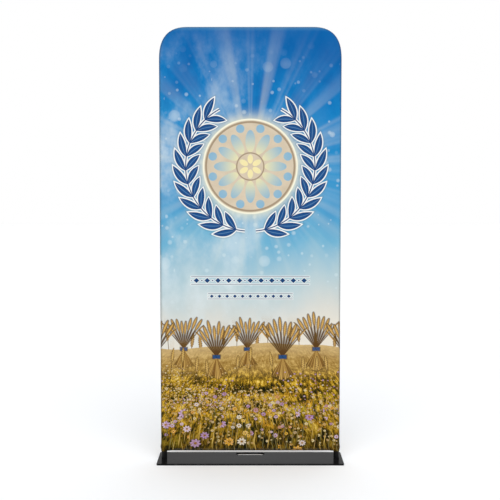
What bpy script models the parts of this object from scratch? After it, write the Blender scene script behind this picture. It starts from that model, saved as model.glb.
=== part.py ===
"""Fabric banner on a tube stand.

A stretch-cloth cover, sewn from a front and a back panel, is drawn over a round-topped frame of black tube.
The frame's two legs come out under the cover's hem and stand on a flat steel base plate with a hand slot.

Metres, +Z up. The printed front faces -Y. The origin is on the floor, under the middle of the base plate.
"""
import math

import bmesh
import bpy
from mathutils import Matrix

# Cover
COVER_WIDTH = 0.914
COVER_HEIGHT = 2.146
HEM_HEIGHT = 0.048
CLOTH = 0.0012
SEAM_GAP = 0.0007
CORNER_REACH_SIDE = 0.150
CORNER_REACH_DOWN = 0.168
CORNER_FULLNESS = 2.6

# Cover's bottom corners, where each leg comes out of the hem
POCKET_DROP = 0.002
POCKET_FADE = 0.030
POCKET_BULGE = 0.0027
BULGE_ABOVE_HEM = 0.017
BULGE_RISE = 0.028
BULGE_FALL = 0.015

# Frame tube
TUBE_RADIUS = 0.0143
TUBE_WALL = 0.0015
TUBE_SIDES = 24
BEND_END = 0.020
CLOTH_CLEARANCE = 0.0004
JOINT_GAP = 0.0003

# Base plate
PLATE_WIDTH = 0.9435
PLATE_DEPTH = 0.228
PLATE_THICKNESS = 0.008
PLATE_CORNER = 0.008
PLATE_EDGE = 0.0008
SLOT_WIDTH = 0.149
SLOT_DEPTH = 0.044
SLOT_FROM_REAR = 0.012

# Fineness of the cloth's faces
ROLL_STEPS = 6
SLEEVE_STEPS = 5
FADE_STEPS = 3
MIDDLE_STEPS = 6
HEM_STEPS = 6
BULGE_STEPS = 4
SIDE_STEPS = 4
CORNER_STEPS = 8

# Worked out from the sizes above
ROLL_RADIUS = TUBE_RADIUS + CLOTH_CLEARANCE + CLOTH
AXIS_X = COVER_WIDTH / 2 - ROLL_RADIUS
BAR_Z = HEM_HEIGHT + ROLL_RADIUS
COVER_TOP = HEM_HEIGHT + COVER_HEIGHT
CORNER_Z = COVER_TOP - CORNER_REACH_DOWN
AXIS_TOP = COVER_TOP - ROLL_RADIUS
CORNER_INNER_X = COVER_WIDTH / 2 - CORNER_REACH_SIDE
QUARTER = math.pi / 2


def make_material(name, colour, roughness, metallic):
    material = bpy.data.materials.new(name)
    material.use_nodes = True
    shader = material.node_tree.nodes["Principled BSDF"]
    shader.inputs["Base Color"].default_value = (*colour, 1.0)
    shader.inputs["Roughness"].default_value = roughness
    shader.inputs["Metallic"].default_value = metallic
    return material


def add_object(name, mesh, material):
    if not mesh.materials:
        mesh.materials.append(material)
    part = bpy.data.objects.new(name, mesh)
    bpy.context.scene.collection.objects.link(part)
    return part


def shade_round(mesh):
    mesh.shade_smooth()
    mesh.set_sharp_from_angle(angle=math.radians(40))


def corner_outline(lean, inset):
    """Return x and z of the right top corner, drawn in by inset, where its normal leans up by the angle lean.

    The corner is a quarter of a superellipse, fuller than a round one and easing into the side and the top.
    """
    steepness = math.tan(lean) * CORNER_REACH_DOWN / CORNER_REACH_SIDE
    ratio = steepness ** (1 / (CORNER_FULLNESS - 1))
    across = (1 + ratio ** CORNER_FULLNESS) ** (-1 / CORNER_FULLNESS)
    x = COVER_WIDTH / 2 - CORNER_REACH_SIDE * (1 - across)
    z = COVER_TOP - CORNER_REACH_DOWN * (1 - ratio * across)
    return x - inset * math.cos(lean), z - inset * math.sin(lean)


def corner_leans():
    """Return the normal's angles along a top corner, closer together where the corner starts and ends."""
    turns = [math.pi * step / CORNER_STEPS for step in range(CORNER_STEPS + 1)]
    return [QUARTER / 2 * (1 - math.cos(turn)) for turn in turns]


def smooth(share):
    share = min(max(share, 0.0), 1.0)
    return share * share * (3 - 2 * share)


def bulge(z):
    """Return how far the cover stands out sideways at height z, where the hem bunches round the leg."""
    above = z - (HEM_HEIGHT + BULGE_ABOVE_HEM)
    reach = BULGE_RISE if above > 0 else BULGE_FALL
    return POCKET_BULGE * (1 - smooth(abs(above) / reach))


def flat_stations():
    """Return the x places of the flat part's columns, from one leg's axis to the other's."""
    sleeve = [ROLL_RADIUS * math.sin(QUARTER * step / SLEEVE_STEPS) for step in range(SLEEVE_STEPS + 1)]
    fade = [ROLL_RADIUS + POCKET_FADE * step / FADE_STEPS for step in range(1, FADE_STEPS + 1)]
    left = [distance - AXIS_X for distance in sleeve + fade]
    span = -2 * left[-1]
    middle = [left[-1] + span * step / MIDDLE_STEPS for step in range(1, MIDDLE_STEPS)]
    return left + middle + [-x for x in reversed(left)]


def roll_depth(turn):
    """Return y on the rolled edge, turned from the flat front towards the seam in the middle of the tube."""
    return -SEAM_GAP / 2 - (ROLL_RADIUS - SEAM_GAP / 2) * math.cos(turn)


def hem_row(share):
    """Return one row of points under the bar's height, at a share of the way down to the hem's edge."""
    turn = QUARTER * share
    pocket_end = HEM_HEIGHT - POCKET_DROP
    row = []
    for side in (-1, 1):
        flank = []
        for step in range(1, ROLL_STEPS + 1):
            z = BAR_Z - (BAR_Z - pocket_end) * math.sin(turn)
            around = QUARTER * step / ROLL_STEPS
            x = AXIS_X + (ROLL_RADIUS + bulge(z)) * math.sin(around)
            flank.append((side * x, roll_depth(around), z))
        row.append(flank)
    front = []
    for x in flat_stations():
        inside = AXIS_X - abs(x)
        sleeve = math.sqrt(max(ROLL_RADIUS ** 2 - inside ** 2, 0.0))
        end_depth = max(sleeve, SEAM_GAP / 2)
        end_z = HEM_HEIGHT - POCKET_DROP * (1 - smooth((inside - ROLL_RADIUS) / POCKET_FADE))
        y = -end_depth - (ROLL_RADIUS - end_depth) * math.cos(turn)
        front.append((x, y, BAR_Z - (BAR_Z - end_z) * math.sin(turn)))
    return row[0][::-1] + front + row[1]


def body_row(border_x, z, lean):
    """Return one row of points across the panel: rolled edge, flat front, rolled edge."""
    left = []
    right = []
    for step in range(1, ROLL_STEPS + 1):
        around = QUARTER * step / ROLL_STEPS
        out = ROLL_RADIUS * math.sin(around)
        edge_z = z + out * math.sin(lean)
        edge_x = border_x + out * math.cos(lean) + bulge(z) * math.sin(around)
        left.insert(0, (-edge_x, roll_depth(around), edge_z))
        right.append((edge_x, roll_depth(around), edge_z))
    front = [(x * border_x / AXIS_X, -ROLL_RADIUS, z) for x in flat_stations()]
    return left + front + right


def panel_mesh():
    """Return the outer skin of the front panel: hem, sides, round corners and the roll over the top."""
    rows = [hem_row(1 - step / HEM_STEPS) for step in range(HEM_STEPS)]
    heights = [BAR_Z + BULGE_RISE * step / BULGE_STEPS for step in range(BULGE_STEPS)]
    side_start = BAR_Z + BULGE_RISE
    side_span = CORNER_Z - side_start
    heights += [side_start + side_span * step / SIDE_STEPS for step in range(SIDE_STEPS)]
    rows += [body_row(AXIS_X, z, 0.0) for z in heights]
    for lean in corner_leans():
        x, z = corner_outline(lean, ROLL_RADIUS)
        rows.append(body_row(x, z, lean))

    shape = bmesh.new()
    grid = [[shape.verts.new(point) for point in row] for row in rows]
    last = grid[-1]
    front_start = ROLL_STEPS
    front_end = len(last) - ROLL_STEPS
    previous = last[front_start:front_end]
    for step in range(1, ROLL_STEPS + 1):
        turn = QUARTER * step / ROLL_STEPS
        z = AXIS_TOP + ROLL_RADIUS * math.sin(turn)
        current = [last[front_start - step]]
        current += [shape.verts.new((vert.co.x, roll_depth(turn), z)) for vert in last[front_start + 1:front_end - 1]]
        current.append(last[front_end - 1 + step])
        add_strip(shape, previous, current)
        previous = current
    for lower, upper in zip(grid, grid[1:]):
        add_strip(shape, lower, upper)

    mesh = bpy.data.meshes.new("cover panel")
    shape.to_mesh(mesh)
    shape.free()
    shade_round(mesh)
    return mesh


def add_strip(shape, lower, upper):
    for column in range(len(lower) - 1):
        shape.faces.new((lower[column], lower[column + 1], upper[column + 1], upper[column]))


def thicken(part, thickness):
    modifier = part.modifiers.new("thickness", "SOLIDIFY")
    modifier.thickness = thickness
    modifier.offset = -1
    modifier.use_even_offset = True


def add_cover(material):
    """Add the front panel, and the same panel turned half round as the back."""
    mesh = panel_mesh()
    front = add_object("cover_front", mesh, material)
    thicken(front, CLOTH)
    back = add_object("cover_back", mesh, material)
    back.rotation_euler.z = math.pi
    thicken(back, CLOTH)


def straight_tube(name, length, material):
    """Add an open tube of the frame's size along its own z, centred on its origin."""
    shape = bmesh.new()
    bmesh.ops.create_cone(
        shape, cap_ends=False, segments=TUBE_SIDES, radius1=TUBE_RADIUS, radius2=TUBE_RADIUS, depth=length
    )
    mesh = bpy.data.meshes.new(name)
    shape.to_mesh(mesh)
    shape.free()
    shade_round(mesh)
    tube = add_object(name, mesh, material)
    thicken(tube, TUBE_WALL)
    return tube


def add_uprights(material):
    foot = PLATE_THICKNESS + JOINT_GAP
    head = CORNER_Z - BEND_END - JOINT_GAP / 2
    for name, side in (("upright_left", -1), ("upright_right", 1)):
        upright = straight_tube(name, head - foot, material)
        upright.location = (side * AXIS_X, 0, (head + foot) / 2)


def add_bends(material):
    """Add the bent tube of each top corner, with a short straight end at the upright and at the top tube."""
    path = [corner_outline(lean, ROLL_RADIUS) for lean in corner_leans()]
    path.insert(0, (AXIS_X, CORNER_Z - BEND_END + JOINT_GAP / 2))
    path.append((CORNER_INNER_X - BEND_END + JOINT_GAP / 2, AXIS_TOP))
    curve = bpy.data.curves.new("bend", "CURVE")
    curve.dimensions = "3D"
    curve.bevel_depth = TUBE_RADIUS
    curve.bevel_resolution = (TUBE_SIDES - 4) // 2
    curve.use_fill_caps = False
    spline = curve.splines.new("POLY")
    spline.points.add(len(path) - 1)
    for point, (x, z) in zip(spline.points, path):
        point.co = (x, 0, z, 1)
    curve.materials.append(material)
    for name, turn in (("bend_right", 0.0), ("bend_left", math.pi)):
        bend = bpy.data.objects.new(name, curve)
        bpy.context.scene.collection.objects.link(bend)
        bend.rotation_euler.z = turn
        thicken(bend, TUBE_WALL)


def add_top_tube(material):
    tube = straight_tube("top_tube", 2 * (CORNER_INNER_X - BEND_END) - JOINT_GAP, material)
    tube.rotation_euler.y = QUARTER
    tube.location = (0, 0, AXIS_TOP)


def cut_away(part, cutter):
    cutter.hide_render = True
    cutter.display_type = "WIRE"
    modifier = part.modifiers.new("cut", "BOOLEAN")
    modifier.operation = "DIFFERENCE"
    modifier.solver = "EXACT"
    modifier.object = cutter


def add_bottom_bar(material):
    """Add the bar that the hem rolls under, its ends coped to fit round the legs."""
    bar = straight_tube("bottom_bar", 2 * AXIS_X, material)
    bar.rotation_euler.y = QUARTER
    bar.location = (0, 0, BAR_Z)
    for side in (-1, 1):
        shape = bmesh.new()
        bmesh.ops.create_cone(
            shape, cap_ends=True, segments=2 * TUBE_SIDES, radius1=TUBE_RADIUS + JOINT_GAP,
            radius2=TUBE_RADIUS + JOINT_GAP, depth=4 * TUBE_RADIUS
        )
        mesh = bpy.data.meshes.new("leg cutter")
        shape.to_mesh(mesh)
        shape.free()
        cutter = add_object("leg cutter", mesh, material)
        cutter.location = (side * AXIS_X, 0, BAR_Z)
        cut_away(bar, cutter)


def rounded_block(name, width, depth, height, radius, steps):
    """Return a mesh of a block with rounded upright edges, centred on its origin."""
    shape = bmesh.new()
    bmesh.ops.create_cube(shape, size=1.0, matrix=Matrix.Diagonal((width, depth, height, 1.0)))
    upright = [edge for edge in shape.edges if abs(edge.verts[0].co.z - edge.verts[1].co.z) > height / 2]
    bmesh.ops.bevel(shape, geom=upright, offset=radius, segments=steps, profile=0.5, affect="EDGES")
    mesh = bpy.data.meshes.new(name)
    shape.to_mesh(mesh)
    shape.free()
    return mesh


def add_base_plate(material):
    mesh = rounded_block("base plate", PLATE_WIDTH, PLATE_DEPTH, PLATE_THICKNESS, PLATE_CORNER, 4)
    plate = add_object("base_plate", mesh, material)
    plate.location.z = PLATE_THICKNESS / 2
    slot_mesh = rounded_block("slot", SLOT_WIDTH, SLOT_DEPTH, 3 * PLATE_THICKNESS, 0.499 * SLOT_DEPTH, 10)
    slot = add_object("slot cutter", slot_mesh, material)
    slot.location = (0, PLATE_DEPTH / 2 - SLOT_FROM_REAR - SLOT_DEPTH / 2, PLATE_THICKNESS / 2)
    cut_away(plate, slot)
    edges = plate.modifiers.new("eased edges", "BEVEL")
    edges.width = PLATE_EDGE
    edges.segments = 2
    edges.limit_method = "ANGLE"
    edges.angle_limit = math.radians(50)


def main():
    for leftover in list(bpy.data.objects):
        bpy.data.objects.remove(leftover)
    cloth = make_material("printed cloth", (0.10, 0.28, 0.50), 0.75, 0.0)
    tube = make_material("black tube", (0.008, 0.008, 0.009), 0.45, 0.2)
    steel = make_material("black plate", (0.020, 0.020, 0.021), 0.40, 0.3)
    add_cover(cloth)
    add_uprights(tube)
    add_bends(tube)
    add_top_tube(tube)
    add_bottom_bar(tube)
    add_base_plate(steel)


main()
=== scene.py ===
import math

import bmesh
import bpy
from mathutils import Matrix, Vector


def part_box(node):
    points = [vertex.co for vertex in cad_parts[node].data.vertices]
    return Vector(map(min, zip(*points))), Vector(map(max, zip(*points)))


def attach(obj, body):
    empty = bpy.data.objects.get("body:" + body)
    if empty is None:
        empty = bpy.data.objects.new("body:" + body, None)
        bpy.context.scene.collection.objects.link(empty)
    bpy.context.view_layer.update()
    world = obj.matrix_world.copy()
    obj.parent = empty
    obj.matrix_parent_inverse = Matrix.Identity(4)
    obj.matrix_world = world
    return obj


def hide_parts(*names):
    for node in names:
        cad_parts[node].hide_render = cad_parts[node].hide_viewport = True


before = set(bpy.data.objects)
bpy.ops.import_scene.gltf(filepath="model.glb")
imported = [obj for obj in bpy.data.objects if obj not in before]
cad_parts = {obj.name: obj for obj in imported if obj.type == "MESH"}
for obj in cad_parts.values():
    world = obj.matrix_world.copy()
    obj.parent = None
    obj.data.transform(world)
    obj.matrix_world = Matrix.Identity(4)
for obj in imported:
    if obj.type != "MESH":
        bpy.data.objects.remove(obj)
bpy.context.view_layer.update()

ROOT = "root"
QUARTER = math.pi / 2

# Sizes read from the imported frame
LEG_LOW, LEG_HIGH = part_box("upright_right")
BAR_LOW, BAR_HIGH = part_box("bottom_bar")
PLATE_LOW, PLATE_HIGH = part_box("base_plate")
COVER_LOW, COVER_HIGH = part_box("cover_front")
TUBE_RADIUS = (LEG_HIGH.x - LEG_LOW.x) / 2
LEG_X = (LEG_HIGH.x + LEG_LOW.x) / 2
ROLL_RADIUS = -COVER_LOW.y
BAR_Z = (BAR_LOW.z + BAR_HIGH.z) / 2
COVER_TOP = COVER_HIGH.z
COVER_HALF = LEG_X + ROLL_RADIUS
HEM_HEIGHT = BAR_Z - ROLL_RADIUS
AXIS_TOP = COVER_TOP - ROLL_RADIUS

# The cover's own sizes, as in the part
CLOTH = 0.0009
SEAM_GAP = 0.0007
CORNER_REACH_SIDE = 0.150
CORNER_REACH_DOWN = 0.168
CORNER_FULLNESS = 2.6
CORNER_Z = COVER_TOP - CORNER_REACH_DOWN
POCKET_DROP = 0.002
POCKET_FADE = 0.030
POCKET_BULGE = 0.0027
BULGE_ABOVE_HEM = 0.017
BULGE_RISE = 0.028
BULGE_FALL = 0.015

# Flat size of one cut panel, edge seam to edge seam and hem seam to top seam, and what the round corners
# take off: a share of each corner's box
FLAT_WIDTH = 2 * LEG_X + math.pi * ROLL_RADIUS
FLAT_LENGTH = AXIS_TOP - BAR_Z + math.pi * ROLL_RADIUS
ROLL_LENGTH = QUARTER * ROLL_RADIUS

# Fineness of the cloth and of the sewn edge
ROLL_STEPS = 10
SLEEVE_STEPS = 10
FADE_STEPS = 8
MIDDLE_STEPS = 40
HEM_STEPS = 10
BULGE_STEPS = 10
SIDE_STEPS = 90
CORNER_STEPS = 28
SEAM_POCKET_STEPS = 24
SEAM_SIDE_STEPS = 12

# Base plate and tubes: the plate's corners and hand slot, as in the part, and their eased edges
PLATE_CORNER = 0.008
PLATE_EDGE = 0.0009
PLATE_EDGE_STEPS = 3
SLOT_WIDTH = 0.149
SLOT_DEPTH = 0.044
SLOT_FROM_REAR = 0.012
SLOT_ROUND = 0.499 * SLOT_DEPTH
CORNER_ROUND_STEPS = 10
SLOT_ROUND_STEPS = 20
TUBE_WALL = 0.0015
TUBE_RIM = 0.0004
TUBE_RIM_STEPS = 2
TUBE_SIDES = 72
SMOOTH_BELOW = math.radians(35)
BEVEL_ABOVE = math.radians(60)

# Seams: the stitches of the hem's two rows, their ply, and the radius of the sewn edge's bead
STITCH_LENGTH = 0.0026
STITCH_PITCH = 0.0034
STITCH_RADIUS = 0.00028
STITCH_SIDES = 8
STITCH_RINGS = 5
HEM_SEAM_RISE = 0.0085
HEM_SEAM_ROWS = (0.0, 0.0045)
PLY_PITCH = 0.0005
EDGE_BEAD = 0.0008
EDGE_BEAD_STEPS = 2
EDGE_BEAD_SINK = CLOTH * 0.6

# Light: the white surround's strength from far left to far right, each soft light's strength, and its
# height, side and spread in degrees. The floor, and how far the camera sees
SURROUND = ((0.0, 0.05), (0.30, 0.54), (0.5, 1.02), (0.72, 0.76), (1.0, 0.30))
FRONT_LIGHT = (1.26, 54, 0, 50)
REAR_LIGHT = (0.38, 76, 180, 40)
SIGHT_END = 100.0
FLOOR_SIZE = 60.0
FLOOR_TONE = (0.94, 0.95, 0.965, 1.0)

# Print, placed on the flat cut, its heights measured up from the hem's edge. The rose window's openings
# and lines are shares of its radius: an opening's middle, half its length and half its width
ROSE_UP = 1.46
ROSE_RADIUS = 0.235
ROSE_PETALS = 12
ROSE_PANE = (0.54, 0.24, 0.105)
ROSE_ROUND = (0.83, 0.092, 0.092)
ROSE_HEART = (0.16, 0.10, 0.06)
ROSE_RIM = 0.945
ROSE_RING = 0.29
ROSE_SOFTNESS = 0.035
LAUREL_RADIUS = 0.325
LAUREL_FIRST = 1
LAUREL_LAST = 11
LAUREL_STEM = 0.0032
LEAF_PITCH = 0.215
LEAF_LENGTH = 0.115
LEAF_WIDTH = 0.034
LEAF_TURN = math.radians(34)
OUTLINE = 0.0062
FIELD_UP = 0.552
EAR_LENGTH = 0.078
EAR_WIDTH = 0.022
EAR_GRAINS = 7.0
PETALS = 8.0
EAR_FAN = math.radians(9)
FAN_SPREAD = math.radians(40.5)
STRAW_FAN = math.radians(5)
SKIRT_SPREAD = math.radians(33)

# Rows across the print. Dividers: middle, half width, size and pitch. Sheaves: pitch, tie, size and shift.
# Stalks: pitch, foot, height and shift
DIVIDERS = ((0.885, 0.300, 0.0135, 0.0545), (0.805, 0.215, 0.0095, 0.0390))
SHEAVES = ((0.330, 0.535, 0.200, 0.50), (0.330, 0.495, 0.220, 1.00))
FAR_STALKS = (0.082, 0.42, 0.165, 0.35)
NEAR_STALKS = (0.069, 0.27, 0.200, 3.60)

# Knit, painted highlight and painted shade: pitch of the knit's ribs and rows, the strip under the top that
# gets a painted highlight, the painted shade round the rolled edges, and where the hem's stitches lie
KNIT_WALE = 0.0022
KNIT_COURSE = 0.0009
TOP_HIGHLIGHT_SPAN = (0.008, 0.036)
TOP_HIGHLIGHT_SHARE = 0.16
EDGE_SHADE_RATE = 0.92
EDGE_SHADE_MOST = 0.45
HEM_SEAM_UP = ROLL_LENGTH - ROLL_RADIUS * math.asin(1 - HEM_SEAM_RISE / ROLL_RADIUS)

# Camera, fitted to the cover's and the plate's edges in the 500-pixel photograph
FOCAL_PIXELS = 1007.2
PHOTO_PIXELS = 500
SENSOR = 36.0
CAMERA_PLACE = (-0.0015, -5.093, 1.406)
CAMERA_DIP = math.radians(3.69)


def srgb(red, green, blue):
    """Return a linear colour from 0 to 255 screen values."""
    def linear(value):
        value = value / 255
        return value / 12.92 if value <= 0.04045 else ((value + 0.055) / 1.055) ** 2.4
    return (linear(red), linear(green), linear(blue), 1.0)


def tones(*stops):
    """Return a colour ramp's stops: each a place from 0 to 1 and its colour."""
    return [(place, srgb(*colour)) for place, *colour in stops]


SKY_TONES = tones(
    (0.265, 238, 230, 214), (0.32, 222, 222, 214), (0.41, 184, 209, 216),
    (0.50, 114, 182, 214), (0.60, 70, 158, 208), (0.70, 44, 148, 206),
    (0.84, 12, 128, 196), (0.97, 0, 100, 172)
)
STRAW_TONES = tones(
    (0.40, 140, 104, 44), (0.49, 176, 140, 72), (0.56, 204, 170, 100),
    (0.66, 230, 200, 132)
)
TUFT_TONES = tones(
    (0.41, 14, 16, 0), (0.455, 52, 48, 4), (0.49, 112, 86, 12),
    (0.53, 184, 142, 30), (0.57, 232, 190, 66), (0.63, 252, 228, 134)
)
BLADE_TONES = tones(
    (0.0, 26, 28, 2), (0.25, 74, 72, 12), (0.45, 116, 98, 24),
    (0.62, 176, 136, 40), (0.80, 228, 188, 84), (0.95, 96, 52, 10)
)
DAISY_TONES = tones(
    (0.0, 182, 138, 184), (0.30, 220, 192, 214), (0.44, 240, 230, 200),
    (0.56, 238, 190, 34), (0.74, 228, 158, 26), (0.84, 176, 130, 180)
)
HEAD_TONES = tones(
    (0.0, 196, 146, 52), (0.25, 236, 204, 116), (0.45, 150, 104, 34),
    (0.65, 250, 232, 170), (0.85, 206, 160, 70)
)


def link(piece):
    bpy.context.scene.collection.objects.link(piece)


class Value:
    """A number that varies over a surface: a shader socket that Python's operators work on."""

    def __init__(self, tree, socket):
        self.tree = tree
        self.socket = socket

    def math(self, operation, *others):
        return self.tree.add("Math", {"operation": operation}, dict(enumerate((self, *others))))

    def reflected(self, operation, other):
        return self.tree.add("Math", {"operation": operation}, {0: other, 1: self})

    def __add__(self, other):
        return self.math("ADD", other)

    def __radd__(self, other):
        return self.reflected("ADD", other)

    def __sub__(self, other):
        return self.math("SUBTRACT", other)

    def __rsub__(self, other):
        return self.reflected("SUBTRACT", other)

    def __mul__(self, other):
        return self.math("MULTIPLY", other)

    def __rmul__(self, other):
        return self.reflected("MULTIPLY", other)

    def __truediv__(self, other):
        return self.math("DIVIDE", other)

    def __rtruediv__(self, other):
        return self.reflected("DIVIDE", other)

    def __pow__(self, other):
        return self.math("POWER", other)

    def __abs__(self):
        return self.math("ABSOLUTE")

    def step(self, low, high, before, after):
        """Return one number below low and another above high, with a smooth step between."""
        inputs = {0: self, 1: low, 2: high, 3: before, 4: after}
        return self.tree.add("MapRange", {"interpolation_type": "SMOOTHSTEP"}, inputs)

    def rises(self, low, high):
        return self.step(low, high, 0.0, 1.0)

    def falls(self, low, high):
        return self.step(low, high, 1.0, 0.0)

    def above(self, level):
        return self.math("GREATER_THAN", level)

    def at_least(self, other):
        return self.math("MAXIMUM", other)

    def at_most(self, other):
        return self.math("MINIMUM", other)

    def fraction(self):
        return self.math("FRACT")


class Nodes:
    """The shader nodes of a material or a world, and one way of adding any kind of them."""

    def __init__(self, owner, shader):
        owner.use_nodes = True
        self.nodes = owner.node_tree.nodes
        self.links = owner.node_tree.links
        self.shader = self.nodes[shader]

    def add(self, kind, settings=None, inputs=None, output=0):
        """Add a node, set it up, and return one of its outputs."""
        node = self.nodes.new("ShaderNode" + kind)
        settings = dict(settings or {})
        stops = settings.pop("stops", None)
        for name, setting in settings.items():
            setattr(node, name, setting)
        if stops:
            elements = node.color_ramp.elements
            while len(elements) < len(stops):
                elements.new(1.0)
            for element, (place, colour) in zip(elements, stops):
                element.position = place
                element.color = colour
        for key, value in (inputs or {}).items():
            if isinstance(value, Value):
                self.links.new(value.socket, node.inputs[key])
            else:
                node.inputs[key].default_value = value
        return Value(self, node.outputs[output])

    def feed(self, socket, value):
        """Let a value drive one socket of the last shader."""
        self.links.new(value.socket, self.shader.inputs[socket])

    def vector(self, x, y, z=0.0):
        return self.add("CombineXYZ", None, {0: x, 1: y, 2: z})

    def mix(self, share, under, over, blend_type="MIX"):
        settings = {"data_type": "RGBA", "blend_type": blend_type, "clamp_factor": True}
        return self.add("Mix", settings, {0: share, 6: under, 7: over}, output=2)

    def noise(self, vector, scale, detail=2.0, roughness=0.5):
        inputs = {"Vector": vector, "Scale": scale, "Detail": detail, "Roughness": roughness}
        return self.add("TexNoise", None, inputs)

    def part(self, vector, axis):
        """Return one part of a vector: 0 for x, 1 for y, 2 for z."""
        return self.add("SeparateXYZ", None, {0: vector}, output=axis)

    def place(self):
        """Return the place on the piece in its own coordinates."""
        return self.add("TexCoord", None, None, output=3)

    def ramp(self, value, stops):
        return self.add("ValToRGB", {"stops": stops}, {0: value})

    def chance(self, x, y):
        """Return a random number from 0 to 1 that belongs to a pair of numbers."""
        settings = {"noise_dimensions": "2D"}
        return self.add("TexWhiteNoise", settings, {"Vector": self.vector(x, y)})

    def bump(self, height, distance, strength):
        inputs = {"Strength": strength, "Distance": distance, "Height": height}
        return self.add("Bump", None, inputs)


class Paint(Nodes):
    """One material and the plain settings of its Principled shader."""

    def __init__(self, name, **finish):
        self.material = bpy.data.materials.new(name)
        super().__init__(self.material, "Principled BSDF")
        for socket, value in finish.items():
            self.shader.inputs[socket.replace("_", " ")].default_value = value


def corner_outline(lean, inset):
    """Return x and z of the right top corner, drawn in by inset, where its normal leans up by lean."""
    steepness = math.tan(lean) * CORNER_REACH_DOWN / CORNER_REACH_SIDE
    ratio = steepness ** (1 / (CORNER_FULLNESS - 1))
    across = (1 + ratio ** CORNER_FULLNESS) ** (-1 / CORNER_FULLNESS)
    x = COVER_HALF - CORNER_REACH_SIDE * (1 - across)
    z = COVER_TOP - CORNER_REACH_DOWN * (1 - ratio * across)
    return x - inset * math.cos(lean), z - inset * math.sin(lean)


def corner_leans():
    """Return the normal's angles along a top corner, closer together where the corner starts and ends."""
    turns = [math.pi * step / CORNER_STEPS for step in range(CORNER_STEPS + 1)]
    return [QUARTER / 2 * (1 - math.cos(turn)) for turn in turns]


def smooth(share):
    share = min(max(share, 0.0), 1.0)
    return share * share * (3 - 2 * share)


def bulge(z):
    """Return how far the cover stands out sideways at height z, where the hem bunches round the leg."""
    above = z - (HEM_HEIGHT + BULGE_ABOVE_HEM)
    reach = BULGE_RISE if above > 0 else BULGE_FALL
    return POCKET_BULGE * (1 - smooth(abs(above) / reach))


def flat_stations():
    """Return the x places of the flat part's columns, from one leg's axis to the other's."""
    sleeve = [ROLL_RADIUS * math.sin(QUARTER * step / SLEEVE_STEPS) for step in range(SLEEVE_STEPS + 1)]
    fade = [ROLL_RADIUS + POCKET_FADE * step / FADE_STEPS for step in range(1, FADE_STEPS + 1)]
    left = [distance - LEG_X for distance in sleeve + fade]
    span = -2 * left[-1]
    middle = [left[-1] + span * step / MIDDLE_STEPS for step in range(1, MIDDLE_STEPS)]
    return left + middle + [-x for x in reversed(left)]


STATIONS = flat_stations()


def roll_depth(around):
    """Return y on the rolled edge, turned from the flat front towards the seam in the middle of the tube."""
    return -SEAM_GAP / 2 - (ROLL_RADIUS - SEAM_GAP / 2) * math.cos(around)


def with_ends(middle, right):
    """Return a row of points whose left end mirrors its right one."""
    return [(-x, *rest) for x, *rest in reversed(right)] + middle + right


def hem_row(share):
    """Return one row of points under the bar's height, at a share of the way down to the hem's edge."""
    turn = QUARTER * share
    pocket_z = BAR_Z - (BAR_Z - (HEM_HEIGHT - POCKET_DROP)) * math.sin(turn)
    right = []
    for step in range(1, ROLL_STEPS + 1):
        around = QUARTER * step / ROLL_STEPS
        x = LEG_X + (ROLL_RADIUS + bulge(pocket_z)) * math.sin(around)
        right.append((x, roll_depth(around), pocket_z))
    front = []
    for x in STATIONS:
        inside = LEG_X - abs(x)
        sleeve = math.sqrt(max(ROLL_RADIUS ** 2 - inside ** 2, 0.0))
        end_depth = max(sleeve, SEAM_GAP / 2)
        end_z = HEM_HEIGHT - POCKET_DROP * (1 - smooth((inside - ROLL_RADIUS) / POCKET_FADE))
        y = -end_depth - (ROLL_RADIUS - end_depth) * math.cos(turn)
        front.append((x, y, BAR_Z - (BAR_Z - end_z) * math.sin(turn)))
    return with_ends(front, right)


def body_row(border_x, z, lean):
    """Return one row of points across the panel: rolled edge, flat front, rolled edge."""
    right = []
    for step in range(1, ROLL_STEPS + 1):
        around = QUARTER * step / ROLL_STEPS
        out = ROLL_RADIUS * math.sin(around)
        edge_z = z + out * math.sin(lean)
        edge_x = border_x + out * math.cos(lean) + bulge(z) * math.sin(around)
        right.append((edge_x, roll_depth(around), edge_z))
    return with_ends([(x * border_x / LEG_X, -ROLL_RADIUS, z) for x in STATIONS], right)


def cut_row(border_x, height, lean):
    """Return where each point of a body row lies on the flat cut, as distances across and up."""
    right = []
    for step in range(1, ROLL_STEPS + 1):
        out = ROLL_LENGTH * step / ROLL_STEPS
        right.append((border_x + out * math.cos(lean), height + out * math.sin(lean)))
    return with_ends([(x * border_x / LEG_X, height) for x in STATIONS], right)


def panel_rows():
    """Return the rows of the panel above the hem, each with its place on the flat cut."""
    heights = [BAR_Z + BULGE_RISE * step / BULGE_STEPS for step in range(BULGE_STEPS)]
    side_start = BAR_Z + BULGE_RISE
    side_span = CORNER_Z - side_start
    heights += [side_start + side_span * step / SIDE_STEPS for step in range(SIDE_STEPS)]
    rows = [(LEG_X, z, 0.0) for z in heights]
    for lean in corner_leans():
        x, z = corner_outline(lean, ROLL_RADIUS)
        rows.append((x, z, lean))
    return rows


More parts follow.
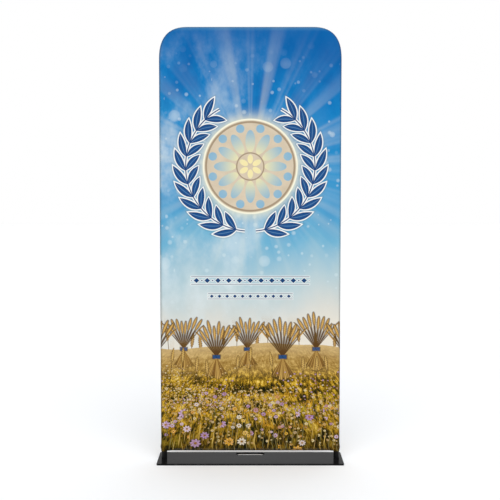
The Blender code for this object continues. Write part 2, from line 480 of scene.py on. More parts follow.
def add_panel(name, turn, paint):
    """Add one cloth panel, its print's coordinates in a map that follows the flat cut.

    turn is 1 for the front panel and -1 for the back one, which is the front one turned half round.
    """
    rows = panel_rows()
    grid = [body_row(*row) for row in rows]
    cuts = [cut_row(x, ROLL_LENGTH + z - BAR_Z, lean) for x, z, lean in rows]
    for step in range(1, HEM_STEPS + 1):
        points = hem_row(step / HEM_STEPS)
        fall = [(Vector(point) - Vector(above)).length for point, above in zip(points, grid[0])]
        cuts.insert(0, [(x, y - drop) for (x, y), drop in zip(cuts[0], fall)])
        grid.insert(0, points)

    shape = bmesh.new()
    layer = shape.loops.layers.uv.new("cloth")
    place = {}

    def add_point(point, cut):
        vert = shape.verts.new((turn * point[0], turn * point[1], point[2]))
        place[vert] = (cut[0] / FLAT_WIDTH + 0.5, cut[1] / FLAT_LENGTH)
        return vert

    def add_strip(lower, upper):
        for column in range(len(lower) - 1):
            face = shape.faces.new((lower[column], lower[column + 1], upper[column + 1], upper[column]))
            face.smooth = True
            for loop in face.loops:
                loop[layer].uv = place[loop.vert]

    verts = [[add_point(*pair) for pair in zip(points, cut)] for points, cut in zip(grid, cuts)]
    last = verts[-1]
    last_cut = cuts[-1]
    start = ROLL_STEPS
    end = len(last) - ROLL_STEPS
    previous = last[start:end]
    for step in range(1, ROLL_STEPS + 1):
        around = QUARTER * step / ROLL_STEPS
        z = AXIS_TOP + ROLL_RADIUS * math.sin(around)
        current = [last[start - step]]
        for column in range(start + 1, end - 1):
            point = (grid[-1][column][0], roll_depth(around), z)
            cut = (last_cut[column][0], last_cut[column][1] + ROLL_RADIUS * around)
            current.append(add_point(point, cut))
        current.append(last[end - 1 + step])
        add_strip(previous, current)
        previous = current
    for lower, upper in zip(verts, verts[1:]):
        add_strip(lower, upper)

    mesh = bpy.data.meshes.new(name)
    shape.to_mesh(mesh)
    shape.free()
    panel = bpy.data.objects.new(name, mesh)
    link(panel)
    mesh.materials.append(paint.material)
    finish_modifier(panel, "SOLIDIFY", thickness=CLOTH, offset=-1, use_even_offset=True)
    return panel


def smooth_faces(piece):
    for face in piece.data.polygons:
        face.use_smooth = True


def pick(piece):
    """Make a piece the only selected and the active one."""
    bpy.ops.object.select_all(action="DESELECT")
    piece.select_set(True)
    bpy.context.view_layer.objects.active = piece


def finish_modifier(piece, kind, **settings):
    """Give a piece a modifier and apply it."""
    pick(piece)
    modifier = piece.modifiers.new(kind.lower(), kind)
    for name, value in settings.items():
        setattr(modifier, name, value)
    bpy.ops.object.modifier_apply(modifier=modifier.name)


def settle(piece, name, paint):
    """Name a finished piece, put its place into its mesh, and give it its material, body and slot."""
    piece.name = name
    piece.data.name = name
    pick(piece)
    bpy.ops.object.transform_apply(location=True, rotation=True, scale=True)
    piece.data.materials.clear()
    piece.data.materials.append(paint.material)
    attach(piece, ROOT)
    return piece


class Print:
    """The cloth's print: places across and up the flat cut, and the colours painted there."""

    def __init__(self, name, hand=1):
        """Set out the print; hand is -1 for the back panel, so that both panels meet at the seam.

        turned runs from 0 on the flat cloth to 1 at the seam.
        """
        paint = Paint(name, Sheen_Weight=0.03, Sheen_Roughness=0.5, Specular_IOR_Level=0.10)
        cut = paint.add("UVMap", {"uv_map": "cloth"})
        self.paint = paint
        self.across = (paint.part(cut, 0) - 0.5) * (hand * FLAT_WIDTH)
        self.up = paint.part(cut, 1) * FLAT_LENGTH
        self.turned = 1 - abs(paint.part(paint.place(), 1)) / ROLL_RADIUS

    def over(self, share, under, over):
        return self.paint.mix(share, under, over)

    def speckle(self, depth, scale, detail=2.0):
        """Return noise over the flat cut, in a layer of its own at each depth."""
        return self.paint.noise(self.paint.vector(self.across, self.up, depth), scale, detail)

    def sky(self):
        """Return the sky, deep blue down to pale, with soft cloud and spots of light."""
        paint = self.paint
        cloud = paint.noise(paint.vector(self.across * 1.5, self.up, 2.0), 3.0, 5.0, 0.6)
        drift = paint.noise(paint.vector(self.across * 1.6, self.up * 0.9, 4.0), 2.4, 3.0)
        tilt = self.across * (self.up - 1.25) * 0.13
        height = self.up / FLAT_LENGTH + (drift - 0.5) * 0.15 + tilt
        colour = paint.ramp(height, SKY_TONES)
        veil = cloud.rises(0.42, 0.72) * self.up.falls(1.5, 2.3) * self.across.falls(-0.3, 0.5) * 0.75
        colour = self.over(veil, colour, srgb(222, 234, 238))
        deep = cloud.falls(0.30, 0.50) * self.up.rises(0.9, 1.9) * 0.45
        colour = self.over(deep, colour, srgb(4, 84, 160))
        colour = self.spots(colour, density=8.5, size=0.036, seed=3.0)
        return self.spots(colour, density=21.0, size=0.013, seed=8.0)

    def spots(self, colour, density, size, seed):
        """Paint faint round spots of light, out of focus, one at most in each cell of an uneven net."""
        x, y, luck, tone, _ = self.scatter(density, seed)
        distance = (x * x + y * y).math("SQRT") / ((0.35 + 0.65 * tone) * size)
        disc = distance.falls(0.72, 1.0) * (0.55 + 0.45 * distance.falls(0.0, 1.0))
        strength = luck.falls(0.10, 0.45) * 0.42 * self.up.rises(0.62, 0.95) * self.up.falls(1.75, 2.1)
        return self.over(disc * strength, colour, srgb(226, 240, 244))

    def scatter(self, density, seed):
        """Return the place from the middle of the nearest cell of an uneven net.

        Two random numbers of the cell and the height of its middle come with it.
        """
        paint = self.paint
        spot = paint.vector(self.across * density, self.up * density + seed * 7.0)
        net = {"voronoi_dimensions": "2D", "feature": "F1"}
        inputs = {"Vector": spot, "Scale": 1.0, "Randomness": 0.8}
        centre = paint.add("TexVoronoi", net, inputs, output=2)
        centre_x = paint.part(centre, 0)
        centre_y = paint.part(centre, 1)
        height = (centre_y - seed * 7.0) / density
        luck = paint.chance(centre_x, centre_y)
        tone = paint.chance(centre_y, centre_x)
        return self.across - centre_x / density, self.up - height, luck, tone, height

    def polar(self, centre_up):
        """Return the distance from a point on the middle line, and the angle from straight down."""
        rise = self.up - centre_up
        distance = (self.across * self.across + rise * rise).math("SQRT")
        return distance, abs(self.across).math("ARCTAN2", -1 * rise)

    def folded(self, distance, angle, count, shift):
        """Return the place along and beside the axis of the nearest of count equal petals."""
        slice_angle = 2 * math.pi / count
        beside = ((angle / slice_angle + (0.5 + shift)).fraction() - 0.5) * slice_angle
        return distance * beside.math("COSINE"), abs(distance * beside.math("SINE"))

    def opening(self, polar, count, shift, shape):
        """Return where the oval openings of one ring of the rose window are, as a mask."""
        along, beside = self.folded(*polar, count, shift)
        middle, length, width = [share * ROSE_RADIUS for share in shape]
        x = (along - middle) / length
        y = beside / width
        return (1 - (x * x + y * y).math("SQRT")).rises(0.0, ROSE_SOFTNESS)

    def rose(self, colour):
        """Paint a rose window in cream with gold panes, in a pale glow with soft rays."""
        paint = self.paint
        polar = self.polar(ROSE_UP)
        distance, angle = polar
        spokes = paint.noise(paint.vector(angle.math("COSINE"), angle.math("SINE")), 7.0)
        rays = spokes.rises(0.40, 0.72) * distance.falls(0.15, 0.90) * 0.26
        colour = self.over(rays, colour, srgb(246, 244, 226))
        glow = distance.falls(ROSE_RADIUS * 0.82, ROSE_RADIUS * 1.42)
        colour = self.over(glow * glow * 0.92, colour, srgb(250, 241, 202))

        panes = self.opening(polar, ROSE_PETALS, 0.0, ROSE_PANE)
        rounds = self.opening(polar, ROSE_PETALS, 0.5, ROSE_ROUND)
        heart = self.opening(polar, ROSE_PETALS / 2, 0.0, ROSE_HEART)
        glass = (panes + rounds + heart).at_most(1.0)
        rim = abs(distance - ROSE_RIM * ROSE_RADIUS).falls(0.004, 0.0055)
        ring = abs(distance - ROSE_RING * ROSE_RADIUS).falls(0.0025, 0.004)

        disc = distance.falls(ROSE_RADIUS - 0.002, ROSE_RADIUS)
        mottle = self.speckle(0.0, 16.0, 3.0)
        stone = self.over(mottle, srgb(206, 190, 164), srgb(232, 216, 192))
        outward = distance.rises(0.1 * ROSE_RADIUS, 0.9 * ROSE_RADIUS)
        pane = self.over(outward, srgb(250, 236, 176), srgb(142, 186, 212))
        window = self.over(glass, stone, pane)
        window = self.over(rim * 0.75, window, srgb(150, 128, 100))
        window = self.over(ring * 0.75, window, srgb(150, 128, 100))
        colour = self.over(disc, colour, window)
        halo = abs(distance - ROSE_RADIUS).falls(0.001, 0.007)
        return self.over(halo, colour, srgb(254, 250, 226))

    def leaf(self, along, beside, start):
        """Return how far inside one laurel leaf a place lies, and the distance from its midrib."""
        x = along - start
        tip = x * math.cos(LEAF_TURN) + beside * math.sin(LEAF_TURN)
        side = abs(beside * math.cos(LEAF_TURN) - x * math.sin(LEAF_TURN))
        share = (tip / (LEAF_LENGTH / 2)) - 1
        return LEAF_WIDTH / 2 * (1 - share * share) - side, side

    def laurel(self, colour):
        """Paint two laurel branches that rise round the rose window, navy with a white edge."""
        distance, angle = self.polar(ROSE_UP)
        run = angle / LEAF_PITCH
        cell = run.math("FLOOR")
        along = (run - cell) * (LEAF_PITCH * LAUREL_RADIUS)
        beside = abs(distance - LAUREL_RADIUS)
        first, rib = self.leaf(along, beside, 0.0)
        second, second_rib = self.leaf(along, beside, -LEAF_PITCH * LAUREL_RADIUS)
        grown = (cell - LAUREL_FIRST + 0.5).above(0.0) * (LAUREL_LAST + 0.5 - cell).above(0.0)
        grown_before = (cell - LAUREL_FIRST - 0.5).above(0.0) * (LAUREL_LAST + 1.5 - cell).above(0.0)
        first = first * grown + (grown - 1)
        second = second * grown_before + (grown_before - 1)
        stem = LAUREL_STEM - beside
        low = LEAF_PITCH * (LAUREL_FIRST - 0.6)
        high = LEAF_PITCH * (LAUREL_LAST + 1.3)
        stem_shown = (angle - low).above(0.0) * (high - angle).above(0.0)
        depth = first.at_least(second).at_least(stem + (stem_shown - 1))
        shade = (depth + 0.016).rises(0.0, 0.012)
        colour = self.over(shade * 0.30, colour, srgb(88, 104, 112))
        colour = self.over((depth + OUTLINE).rises(0.0, 0.0015), colour, srgb(244, 246, 244))
        ink = self.over(depth.rises(0.0, LEAF_WIDTH / 2), srgb(24, 66, 122), srgb(38, 92, 150))
        colour = self.over(depth.rises(0.0, 0.0012), colour, ink)
        inside = first.at_least(second).rises(0.004, 0.006)
        vein = rib.at_most(second_rib).falls(0.0004, 0.0012) * inside
        return self.over(vein * 0.55, colour, srgb(150, 184, 212))

    def divider(self, colour, middle_up, half_width, size, pitch):
        """Paint a band of small diamonds and dots between two fine lines, in navy with a pale edge."""
        rise = self.up - middle_up
        cell = ((self.across / pitch + 0.5).fraction() - 0.5) * pitch
        between = ((self.across / pitch).fraction() - 0.5) * pitch
        diamond = size - (abs(cell) * 0.9 + abs(rise))
        dot = size * 0.30 - (between * between + rise * rise).math("SQRT")
        line = 0.0016 - abs(abs(rise) - size * 1.45)
        depth = diamond.at_least(dot).at_least(line).at_most(half_width - abs(self.across))
        colour = self.over((depth + 0.004).rises(0.0, 0.002), colour, srgb(236, 240, 238))
        return self.over(depth.rises(0.0, 0.001), colour, srgb(30, 70, 118))

    def field(self, colour):
        """Paint rolling fields: light and golden far off, dark olive with gold grass at the hem."""
        paint = self.paint
        hill = 0.014 * (self.across * 6.1 + 0.8).math("SINE")
        ridge = 0.004 * (self.across * 21.0).math("SINE")
        far_edge = FIELD_UP + hill + ridge
        near = (FIELD_UP + 0.10 - self.up).at_least(0.08)
        deep = near.math("LOGARITHM", math.e)
        wave = self.speckle(21.0, 8.0)
        spread = (self.across + (wave - 0.5) * 0.05) / (near + 0.45)
        blades = paint.noise(paint.vector(spread * 3.2, deep * 0.50), 17.0, 6.0, 0.68)
        fine = paint.noise(paint.vector(spread * 4.0, deep * 0.7, 3.0), 52.0, 3.0, 0.6)
        clumps = paint.noise(paint.vector(spread * 1.4, deep * 1.1, 5.0), 6.0, 3.0, 0.55)
        ragged = (blades - 0.5) * 0.06
        tuft = blades * 0.46 + fine * 0.24 + clumps * 0.30
        straw = paint.ramp(tuft, STRAW_TONES)
        shade = self.over((0.42 + ragged - self.up).rises(-0.05, 0.06), straw, paint.ramp(tuft, TUFT_TONES))
        green = self.speckle(11.0, 6.0, 3.0).rises(0.50, 0.66)
        green = green * self.up.falls(0.22, 0.42) * 0.5
        leafy = paint.mix(1.0, shade, srgb(196, 226, 130), "MULTIPLY")
        shade = self.over(green, shade, leafy)
        gold = paint.noise(paint.vector(spread * 2.0, deep, 17.0), 8.0, 3.0, 0.6).rises(0.54, 0.62)
        gold = gold * fine.rises(0.44, 0.60) * self.up.falls(0.25, 0.40) * 0.85
        shade = self.over(gold, shade, srgb(222, 160, 46))
        dark = self.up.falls(0.02, 0.20) * 0.75
        shade = self.over(dark, shade, paint.mix(1.0, shade, srgb(96, 98, 60), "MULTIPLY"))
        haze = (far_edge - self.up).falls(0.0, 0.09) * 0.5
        shade = self.over(haze, shade, srgb(226, 198, 146))
        mask = (far_edge + ragged * 0.15 - self.up).rises(0.0, 0.004)
        return self.over(mask, colour, shade)

    def blades(self, colour, pitch, foot_up, height, width, slant, shift):
        """Paint a row of pointed grass blades, each in its own strip of the print."""
        paint = self.paint
        rise = self.up - foot_up
        run = (self.across - rise * slant) / pitch + shift
        cell = run.math("FLOOR")
        luck = paint.chance(cell, shift)
        other = paint.chance(cell + 57.0, shift)
        share = (rise + other * 0.06) / (height * (0.45 + 0.55 * luck))
        bend = (other - 0.5) * 0.5 * share * share
        beside = abs(run - cell - 0.5 - (luck - 0.5) * 0.3 - bend) * pitch
        depth = width / 2 * (1 - share) - beside
        mask = depth.rises(0.0, 0.0009) * share.rises(0.0, 0.35)
        tone = paint.ramp((luck * 7.3 + share * 0.25).fraction(), BLADE_TONES)
        rib = beside.falls(0.0, width * 0.25) * 0.25
        return self.over(mask, colour, self.over(rib, tone, srgb(250, 232, 170)))

    def stalks(self, colour, pitch, foot_up, height, shift, dark, light):
        """Paint a row of wheat: thin leaning stems, each with an ear of pointed grains and fine awns."""
        paint = self.paint
        run = self.across / pitch + shift
        cell = run.math("FLOOR")
        luck = paint.chance(cell, shift)
        other = paint.chance(cell + 31.0, shift)
        rise = self.up - foot_up
        lean = (other - 0.5) * 0.8 * rise * rise
        beside = ((run - cell) - 0.5 - (other - 0.5) * 0.35) * pitch - lean
        tip = height * (0.55 + 0.45 * luck)
        ear = (rise - tip) / EAR_LENGTH
        side = abs(beside)
        row = beside.above(0.0) * 0.5
        grain = (ear * EAR_GRAINS - side / EAR_WIDTH * 2.2 + row).fraction()
        swell = (4 * ear * (1 - ear)).at_least(0.0) ** 0.45
        ear_depth = EAR_WIDTH / 2 * swell * (1.0 - 0.30 * grain) - side
        stem_depth = (0.0020 - side) * (tip + 0.01 - rise).above(0.0)
        depth = ear_depth.at_least(stem_depth)
        grown = luck.above(0.15) * rise.above(0.0)
        above = rise - tip
        fan = EAR_WIDTH * 0.28 + above * 0.20
        awn = ((above - side * 4.2) / 0.011).fraction().falls(0.10, 0.26)
        awn = awn * (fan - side).rises(0.0, 0.002) * above.rises(0.0, 0.01)
        awn = awn * (above / EAR_LENGTH).falls(1.25, 1.75)
        colour = self.over(awn * grown * 0.6, colour, self.over(0.5, dark, light))
        mask = depth.rises(0.0, 0.0010) * grown
        rim = (ear_depth * 130.0).at_most(1.0).at_least(0.0)
        split = abs(grain - 0.5).rises(0.30, 0.5) * rim
        shade = self.over(rim * 0.9 * (1 - split * 0.75), dark, light)
        return self.over(mask, colour, shade)

    def sheaves(self, colour, pitch, tie_up, size, shift):
        """Paint a row of wheat sheaves, each tied in the middle: ears above, a skirt of straw below."""
        paint = self.paint
        run = self.across / pitch + shift
        cell = run.math("FLOOR")
        luck = paint.chance(cell, shift + 0.5)
        scale = size * (0.82 + 0.18 * luck)
        x = (run - cell - 0.5 - (luck - 0.5) * 0.12) * pitch / scale
        rise = (self.up - tie_up) / scale
        distance = (x * x + rise * rise).math("SQRT")
        angle = x.math("ARCTAN2", rise)
        turn = angle / EAR_FAN
        stalk = turn.math("FLOOR")
        own = paint.chance(stalk, cell + 7.0)
        beside = distance * (turn - stalk - 0.5) * EAR_FAN
        along = distance - 0.62 - 0.22 * own
        swell = 1 - (along / 0.20) * (along / 0.20)
        side = abs(beside)
        grain = (along * 22.0 - side * 20.0 + beside.above(0.0) * 0.5).fraction()
        ear_depth = 0.046 * swell.at_least(0.0) ** 0.6 * (1 - 0.25 * grain) - side
        ear_depth = ear_depth + swell.at_most(0.0) * 0.3
        stem_depth = (0.017 - side).at_most(0.5 - abs(distance - 0.42) * 1.25)
        fan = (FAN_SPREAD - abs(angle)).above(0.0)
        upper = ear_depth.at_least(stem_depth) - (1 - fan)

        down = x.math("ARCTAN2", -1 * rise)
        straw = down / STRAW_FAN
        bunch = paint.chance(straw.math("FLOOR"), cell + 19.0)
        skirt_end = (0.50 + 0.10 * bunch) - distance
        lower = (0.36 * (1 - abs(down / SKIRT_SPREAD) ** 3.0)).at_most(skirt_end)
        lower = lower - (abs(down) - SKIRT_SPREAD).above(0.0)
        knot = (0.052 - abs(rise)).at_most(0.105 - abs(x))

        depth = upper.at_least(lower).at_least(knot)
        colour = self.over((depth + 0.024).rises(0.0, 0.016) * 0.7, colour, srgb(62, 42, 20))
        rim = (ear_depth * 34.0).at_most(1.0).at_least(0.0)
        split = abs(grain - 0.5).rises(0.30, 0.5) * rim
        ear = self.over(rim * (1 - split * 0.7), srgb(92, 62, 28), srgb(226, 180, 100))
        stripe = abs(straw.fraction() - 0.5).rises(0.25, 0.5)
        hay = self.over(bunch, srgb(136, 96, 42), srgb(214, 172, 92))
        hay = self.over(stripe, hay, srgb(70, 46, 18))
        hay = self.over(abs(x).rises(0.10, 0.34) * 0.6, hay, srgb(66, 44, 18))
        shade = self.over(upper.rises(0.0, 0.006), hay, ear)
        twist = abs((x * 9.0 + rise * 6.0).fraction() - 0.5).rises(0.3, 0.5)
        band = self.over(twist * 0.6, srgb(44, 78, 124), srgb(18, 42, 84))
        shade = self.over(knot.rises(0.0, 0.008), shade, band)
        return self.over(depth.rises(0.0, 0.008), colour, shade)

    def flowers(self, colour, density, size, low_up, top_up, share, seed, tones):
        """Paint scattered daisies or seed heads, one at most in each cell of an uneven net."""
        paint = self.paint
        x, y, luck, tone, height = self.scatter(density, seed)
        y = y * 1.25
        distance = (x * x + y * y).math("SQRT")
        angle = x.math("ARCTAN2", y)
        reach = size * (0.5 + 0.5 * tone)
        fray = self.speckle(0.0, 210.0)
        petals = (angle * PETALS + tone * 6.0).math("COSINE")
        ruffle = (angle * 19.0 + tone * 30.0).math("COSINE")
        depth = reach * (0.80 + 0.13 * petals + 0.05 * ruffle + (fray - 0.5) * 0.25) - distance
        drifts = self.speckle(seed, 4.5).rises(0.36, 0.62)
        grown = luck.math("LESS_THAN", drifts * share) * (top_up - height).above(0.0)
        grown = grown * (height - low_up).above(0.0)
        petal = paint.ramp((tone * 5.7 + 0.13).fraction(), tones)
        rays = petals.rises(-0.9, 0.3)
        split = (1 - rays) * distance.rises(reach * 0.25, reach * 0.8)
        petal = self.over(split * 0.6, petal, srgb(96, 66, 60))
        petal = self.over(distance.falls(reach * 0.15, reach * 0.6) * 0.45, petal, srgb(132, 84, 60))
        petal = self.over(fray.rises(0.52, 0.66) * 0.45, petal, srgb(255, 250, 240))
        shadow = (reach * 1.15 - distance).rises(0.0, reach * 0.4)
        colour = self.over(shadow * grown * 0.5, colour, srgb(36, 32, 8))
        colour = self.over(depth.rises(0.0, 0.0010) * grown, colour, petal)
        heart = (reach * 0.26 - distance).rises(0.0, 0.0010) * grown
        pollen = self.over(fray.rises(0.4, 0.6), srgb(92, 58, 16), srgb(206, 150, 40))
        return self.over(heart, colour, pollen)

    def knit(self, colour):
        """Give the cloth its fine knit, a painted highlight along the top roll and painted shade round the
        rolled edges.
        """
        paint = self.paint
        wale = (self.across * (2 * math.pi / KNIT_WALE)).math("SINE")
        course = (self.up * (2 * math.pi / KNIT_COURSE)).math("SINE")
        loops = abs(wale) * (0.6 + 0.4 * course)
        tension = paint.noise(paint.vector(self.across * 1.2, self.up * 0.5, 9.0), 5.0)
        hem_line = abs(self.up - HEM_SEAM_UP).falls(0.0008, 0.0030)
        height = loops * 0.10 + tension * 6.0 - hem_line * 8.0
        paint.feed("Normal", paint.bump(height, 0.0001, 0.55))
        # Painted highlight: the strip under the top roll is mixed towards a pale tint, as if lit from above
        pale = (FLAT_LENGTH - self.up).falls(*TOP_HIGHLIGHT_SPAN) * TOP_HIGHLIGHT_SHARE
        colour = self.over(pale, colour, srgb(156, 223, 223))
        # Painted shade: the cloth is mixed towards dark grey where its edges roll away from the light
        edge_shade = (self.turned * EDGE_SHADE_RATE).at_most(EDGE_SHADE_MOST)
        colour = self.over(edge_shade, colour, srgb(50, 50, 45))
        fibre = self.speckle(0.0, 420.0)
        colour = paint.mix(1.0, colour, 0.88 + fibre * 0.09, "MULTIPLY")
        paint.feed("Roughness", 0.76 + fibre * 0.14)
        paint.feed("Base Color", colour)
        return paint


def front_print():
    """Return the front panel's print, painted from the sky forward to the flowers at the hem."""
    art = Print("print front")
    colour = art.rose(art.sky())
    colour = art.laurel(colour)
    for layer in DIVIDERS:
        colour = art.divider(colour, *layer)
    colour = art.stalks(colour, *FAR_STALKS, dark=srgb(116, 88, 50), light=srgb(206, 166, 102))
    colour = art.field(colour)
    for layer in SHEAVES:
        colour = art.sheaves(colour, *layer)
    colour = art.stalks(colour, *NEAR_STALKS, dark=srgb(66, 46, 20), light=srgb(232, 190, 108))
    # Flowers: density, size, lowest and highest place, share, seed, tones
    # Blades: pitch, foot, height, width, slant, shift
    for grow, *layer in (
        (art.flowers, 76.0, 0.0062, 0.20, 0.46, 0.95, 13.0, HEAD_TONES),
        (art.flowers, 52.0, 0.0075, 0.22, 0.42, 0.80, 9.0, DAISY_TONES),
        (art.blades, 0.021, 0.24, 0.110, 0.0065, 0.18, 2.3),
        (art.blades, 0.018, 0.17, 0.120, 0.0070, -0.22, 5.1),
        (art.flowers, 41.0, 0.0115, 0.04, 0.34, 0.85, 21.0, HEAD_TONES),
        (art.flowers, 25.0, 0.0170, 0.08, 0.31, 0.85, 2.0, DAISY_TONES),
        (art.blades, 0.024, 0.05, 0.170, 0.0095, 0.14, 8.7),
        (art.blades, 0.022, -0.04, 0.160, 0.0100, -0.17, 1.9),
        (art.flowers, 11.5, 0.0340, -0.1, 0.21, 0.95, 5.0, DAISY_TONES),
    ):
        colour = grow(colour, *layer)
    return art.knit(colour)


def back_print():
    """Return the back panel's print: the front's sky and field, which it meets at the seam."""
    art = Print("print back", -1)
    return art.knit(art.field(art.sky()))


def coat(name, colour, light, roughness, specular):
    """Return a powder coat: a fine even grain with lighter specks, and a little cloudiness."""
    paint = Paint(name, Metallic=0.0, Specular_IOR_Level=specular)
    place = paint.place()
    grain = paint.noise(place, 1400.0, 2.0, 0.6)
    peel = paint.noise(place, 260.0)
    cloud = paint.noise(place, 9.0, 4.0, 0.6)
    tone = paint.mix(cloud, colour, light)
    speck = grain.rises(0.62, 0.80) * 0.25
    paint.feed("Base Color", paint.mix(speck, tone, light))
    paint.feed("Roughness", roughness + (cloud - 0.5) * 0.12 + (grain - 0.5) * 0.06)
    paint.feed("Normal", paint.bump(grain * 0.35 + peel * 0.65, 0.00005, 0.45))
    return paint


def thread(name, colour):
    """Return sewing thread: its ply shows as fine slanting bands."""
    paint = Paint(name, Sheen_Weight=0.2, Specular_IOR_Level=0.35)
    place = paint.place()
    ply = ((paint.part(place, 0) + paint.part(place, 2) * 0.8) * (2 * math.pi / PLY_PITCH)).math("SINE")
    tone = paint.noise(place, 60.0)
    paint.feed("Base Color", paint.mix(tone, colour, srgb(150, 158, 164)))
    paint.feed("Roughness", 0.55 + tone * 0.2)
    paint.feed("Normal", paint.bump(ply, 0.00004, 0.5))
    return paint


def add_hem_stitches(name, turn, paint):
    """Add the two rows of stitches that hold the hem, along the cloth as it rolls under the bar."""
    length = 2 * (LEG_X - ROLL_RADIUS - POCKET_FADE)
    count = int(length / STITCH_PITCH)
    rows = []
    for offset in HEM_SEAM_ROWS:
        sink = 1 - (HEM_SEAM_RISE + offset) / ROLL_RADIUS
        depth = math.sqrt(1 - sink ** 2)
        pick_none()
        bpy.ops.mesh.primitive_uv_sphere_add(
            segments=STITCH_SIDES, ring_count=STITCH_RINGS, radius=STITCH_RADIUS,
            location=(-(count - 1) / 2 * STITCH_PITCH, -ROLL_RADIUS * depth, BAR_Z - ROLL_RADIUS * sink)
        )
        row = bpy.context.active_object
        row.scale.x = STITCH_LENGTH / (2 * STITCH_RADIUS)
        bpy.ops.object.transform_apply(location=False, rotation=False, scale=True)
        finish_modifier(
            row, "ARRAY", count=count, use_relative_offset=False, use_constant_offset=True,
            constant_offset_displace=(STITCH_PITCH, 0, 0)
        )
        rows.append(row)
    join(rows)
    bpy.ops.object.transform_apply(location=True, rotation=False, scale=False)
    if turn < 0:
        rows[0].rotation_euler.z = math.pi
    smooth_faces(rows[0])
    return settle(rows[0], name, paint)


def pick_none():
    bpy.ops.object.select_all(action="DESELECT")


def join(parts):
    pick(parts[0])
    for part in parts[1:]:
        part.select_set(True)
    bpy.ops.object.join()


def edge_path(inset):
    """Return the points of the cover's outline from the left pocket, over the top, to the right pocket."""
    start = HEM_HEIGHT - POCKET_DROP + inset
    bulge_top = BAR_Z + BULGE_RISE
    pocket = bulge_top - start
    straight = CORNER_Z - bulge_top
    low = [start + pocket * step / SEAM_POCKET_STEPS for step in range(SEAM_POCKET_STEPS + 1)]
    high = [bulge_top + straight * step / SEAM_SIDE_STEPS for step in range(1, SEAM_SIDE_STEPS)]
    side = [(COVER_HALF + bulge(z) - inset, z) for z in low] + [(COVER_HALF - inset, z) for z in high]
    side += [corner_outline(lean, inset) for lean in corner_leans()]
    return [(-x, z) for x, z in side] + side[::-1]


def add_edge_seam(paint):
    """Add the sewn edge where the two panels meet, a fine bead sunk between them."""
    curve = bpy.data.curves.new("edge seam", "CURVE")
    curve.dimensions = "3D"
    curve.bevel_depth = EDGE_BEAD
    curve.bevel_resolution = EDGE_BEAD_STEPS
    curve.use_fill_caps = True
    path = edge_path(EDGE_BEAD_SINK)
    spline = curve.splines.new("POLY")
    spline.points.add(len(path) - 1)
    for point, (x, z) in zip(spline.points, path):
        point.co = (x, 0, z, 1)
    seam = bpy.data.objects.new("edge_seam", curve)
    link(seam)
    pick(seam)
    bpy.ops.object.convert(target="MESH")
    seam = bpy.context.active_object
    smooth_faces(seam)
    return settle(seam, "edge_seam", paint)


def edit_edges(piece, wanted, **bevel):
    """Bevel the edges of a piece that wanted picks by their two ends."""
    pick(piece)
    bpy.ops.object.mode_set(mode="EDIT")
    bpy.ops.mesh.select_all(action="DESELECT")
    shape = bmesh.from_edit_mesh(piece.data)
    for edge in shape.edges:
        edge.select = wanted(edge.verts[0].co, edge.verts[1].co)
    bmesh.update_edit_mesh(piece.data)
    bpy.ops.mesh.select_mode(type="EDGE")
    bpy.ops.mesh.bevel(affect="EDGES", **bevel)
    bpy.ops.object.mode_set(mode="OBJECT")


def ease_edges(piece, width, steps):
    """Round a piece's sharp edges a little, and leave its broad faces truly flat in the light."""
    pick(piece)
    bpy.ops.object.shade_smooth_by_angle(angle=SMOOTH_BELOW)
    finish_modifier(
        piece, "BEVEL", width=width, segments=steps, limit_method="ANGLE", angle_limit=BEVEL_ABOVE,
        harden_normals=True
    )


def add_block(place, size, radius, steps):
    """Add a block with rounded upright edges."""
    pick_none()
    bpy.ops.mesh.primitive_cube_add(size=1.0, location=place)
    block = bpy.context.active_object
    block.scale = size
    bpy.ops.object.transform_apply(location=False, rotation=False, scale=True)
    half = size[2] / 2
    edit_edges(block, lambda a, b: abs(a.z - b.z) > half, offset=radius, segments=steps, profile=0.5)
    return block


def add_base(paint):
    """Add the base plate with its rounded corners, hand slot and eased edges."""
    thickness = PLATE_HIGH.z - PLATE_LOW.z
    depth = PLATE_HIGH.y - PLATE_LOW.y
    width = PLATE_HIGH.x - PLATE_LOW.x
    plate = add_block((0, 0, thickness / 2), (width, depth, thickness), PLATE_CORNER, CORNER_ROUND_STEPS)
    slot_place = (0, depth / 2 - SLOT_FROM_REAR - SLOT_DEPTH / 2, thickness / 2)
    slot_size = (SLOT_WIDTH, SLOT_DEPTH, 3 * thickness)
    slot = add_block(slot_place, slot_size, SLOT_ROUND, SLOT_ROUND_STEPS)
    finish_modifier(plate, "BOOLEAN", operation="DIFFERENCE", solver="EXACT", object=slot)
    bpy.data.objects.remove(slot)
    ease_edges(plate, PLATE_EDGE, PLATE_EDGE_STEPS)
    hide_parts("base_plate")
    return settle(plate, "base_steel", paint)


def add_leg(name, node, side, paint):
    """Add one upright tube, open at both ends, its rims eased."""
    low, high = LEG_LOW.z, LEG_HIGH.z
    pick_none()
    bpy.ops.mesh.primitive_circle_add(
        vertices=TUBE_SIDES, radius=TUBE_RADIUS, location=(side * LEG_X, 0, low)
    )
    leg = bpy.context.active_object
    bpy.ops.object.mode_set(mode="EDIT")
    bpy.ops.mesh.select_all(action="SELECT")
    bpy.ops.mesh.extrude_region_move(TRANSFORM_OT_translate={"value": (0, 0, high - low)})
    bpy.ops.mesh.select_all(action="SELECT")
    bpy.ops.mesh.normals_make_consistent(inside=False)
    bpy.ops.object.mode_set(mode="OBJECT")
    finish_modifier(leg, "SOLIDIFY", thickness=TUBE_WALL, offset=-1, use_even_offset=True)
    ease_edges(leg, TUBE_RIM, TUBE_RIM_STEPS)
    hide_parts(node)
    return settle(leg, name, paint)


def refinish(node, paint):
    """Give a CAD node that stays its finish."""
    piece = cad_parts[node]
    for place in range(max(1, len(piece.material_slots))):
        piece.material_slots[place].material = paint.material


def add_floor():
    bpy.ops.mesh.primitive_plane_add(size=FLOOR_SIZE, location=(0, 0, 0))
    floor = bpy.context.active_object
    floor.name = "floor"
    paint = Paint("floor", Base_Color=FLOOR_TONE, Roughness=0.9, Specular_IOR_Level=0.1)
    floor.data.materials.append(paint.material)


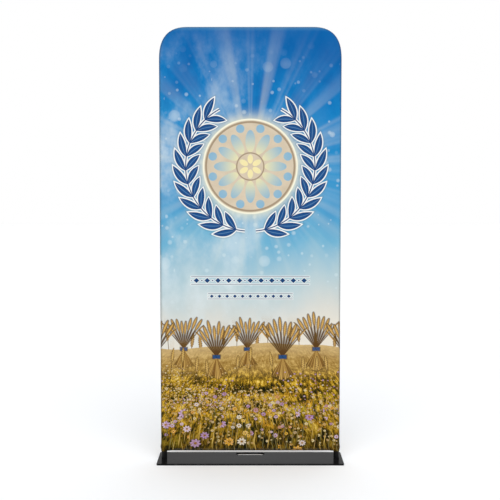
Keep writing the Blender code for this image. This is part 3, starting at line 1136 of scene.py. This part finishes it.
def add_light():
    """Light the banner by a white surround, and by a broad soft light from the front and the rear."""
    world = bpy.data.worlds.new("surround")
    bpy.context.scene.world = world
    surround = Nodes(world, "Background")
    surround.shader.inputs["Color"].default_value = (1.0, 1.0, 1.0, 1.0)
    across = (surround.part(surround.add("TexCoord"), 0) + 1) * 0.5
    greys = [(place, (grey, grey, grey, 1.0)) for place, grey in SURROUND]
    seen_directly = surround.add("LightPath")
    surround.feed("Strength", surround.ramp(across, greys).at_least(seen_directly))

    lamps = (("front light", FRONT_LIGHT), ("rear light", REAR_LIGHT))
    for name, (strength, height, side, spread) in lamps:
        lamp = bpy.data.lights.new(name, "SUN")
        lamp.energy = strength
        lamp.angle = math.radians(spread)
        sun = bpy.data.objects.new(name, lamp)
        sun.rotation_euler = (math.radians(90 - height), 0, math.radians(side))
        link(sun)


def add_camera():
    camera = bpy.data.cameras.new("camera")
    camera.sensor_width = SENSOR
    camera.lens = FOCAL_PIXELS / PHOTO_PIXELS * SENSOR
    camera.clip_end = SIGHT_END
    seen = bpy.data.objects.new("camera", camera)
    seen.location = CAMERA_PLACE
    seen.rotation_euler = (QUARTER - CAMERA_DIP, 0, 0)
    link(seen)
    bpy.context.scene.camera = seen
    bpy.context.scene.view_settings.view_transform = "Standard"


def main():
    add_camera()
    add_light()
    add_floor()
    steel = coat("plate coat", srgb(17, 17, 18), srgb(26, 26, 27), roughness=0.22, specular=0.02)
    tube = coat("tube coat", srgb(15, 15, 16), srgb(28, 28, 29), roughness=0.40, specular=0.10)
    add_base(steel)
    add_leg("leg_left", "upright_left", -1, tube)
    add_leg("leg_right", "upright_right", 1, tube)
    for node in ("bend_left", "bend_right", "top_tube", "bottom_bar"):
        refinish(node, tube)

    seam_thread = thread("seam thread", srgb(96, 112, 126))
    hem_thread = thread("hem thread", srgb(108, 98, 66))
    edge = add_edge_seam(seam_thread)
    for side, turn, art in (("front", 1, front_print()), ("back", -1, back_print())):
        panel = add_panel("cloth_" + side, turn, art)
        stitches = add_hem_stitches("hem_stitches_" + side, turn, hem_thread)
        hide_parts("cover_" + side)
        settle(panel, "cloth_" + side, art)


main()
bpy.context.view_layer.update()
